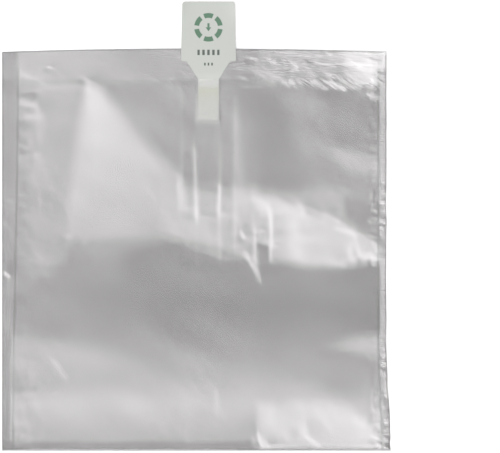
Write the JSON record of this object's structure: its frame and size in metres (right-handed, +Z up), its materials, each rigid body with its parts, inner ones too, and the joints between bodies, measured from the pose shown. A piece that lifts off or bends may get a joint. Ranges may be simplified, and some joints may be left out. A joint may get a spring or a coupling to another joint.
{
  "type": "inflatable air cushion bag",
  "caption": "Flat clear film bag with welded sides and top, a film valve inside and a white inlet tab for pumping it up as void fill.",
  "frame": {"origin": "middle of the whole outline, inlet tab included, on the underside of the back wall", "axes": "+Z up from the underside, +Y along the bag towards the inlet tab, +X across it, to the right of the tab seen from above"},
  "size_m": [0.3046, 0.3524, 0.003],
  "materials": {
    "clear_film": "clear glossy low-density polyethylene film, slightly grey",
    "valve_film": "thin clear film, satin",
    "white_plastic": "stiff white sheet, satin, with a green mark and grey bars printed on it"
  },
  "bodies": {
    "root": {"bag_film": "clear_film", "valve_back_film": "valve_film", "valve_front_film": "valve_film", "inlet_tab": "white_plastic"}
  },
  "joints": []
}
